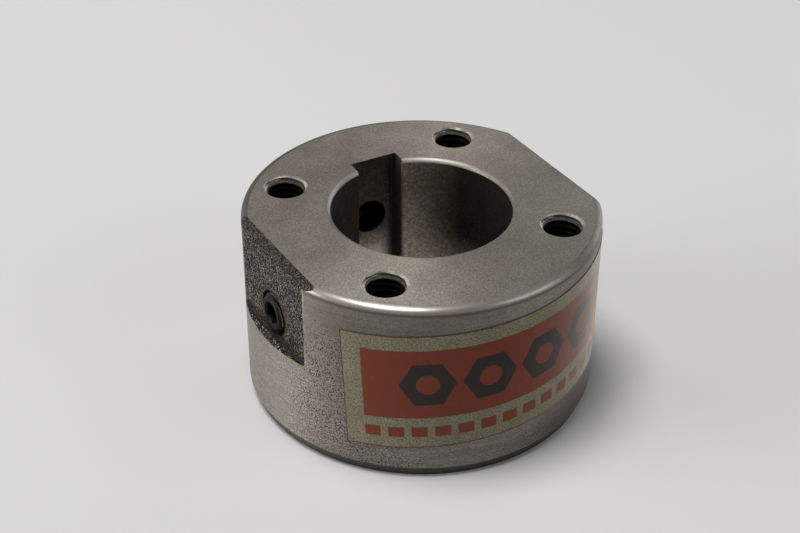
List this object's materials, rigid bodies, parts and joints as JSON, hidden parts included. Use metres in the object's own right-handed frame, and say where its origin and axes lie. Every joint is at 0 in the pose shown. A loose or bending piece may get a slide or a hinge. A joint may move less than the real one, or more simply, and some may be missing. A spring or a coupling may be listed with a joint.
{
  "type": "jaw coupling hub",
  "caption": "Round cast hub half of a bolted jaw coupling, with a keyed shaft bore, tapped bolt holes in its face, two side pockets and radial set screws.",
  "frame": {"origin": "on the shaft bore's axis, in the plane of the seating face that the hub rests on", "axes": "+Z along the bore towards the bolting face, +X and -X out of the two flat pocket floors, +Y towards the keyway"},
  "size_m": [0.083, 0.0833, 0.046],
  "materials": {
    "cast_iron": "turned all over with open graphite pores; the two pockets are left rough as cast",
    "black_oxide_steel": "black oxide, slightly oily",
    "label_film": "thin satin printed film"
  },
  "bodies": {
    "hub": {"hub_body": "cast_iron", "label_film": "label_film"},
    "flat_screw": {"flat_set_screw": "black_oxide_steel"},
    "keyway_screw": {"keyway_set_screw": "black_oxide_steel"}
  },
  "joints": [
    {"name": "flat_screw_travel", "type": "slide", "parent": "hub", "child": "flat_screw", "axis": [1, 0, 0], "range_m": [-0.004, 0.0065]},
    {"name": "keyway_screw_travel", "type": "slide", "parent": "hub", "child": "keyway_screw", "axis": [0, -1, 0], "range_m": [-0.004, 0.00485]}
  ]
}
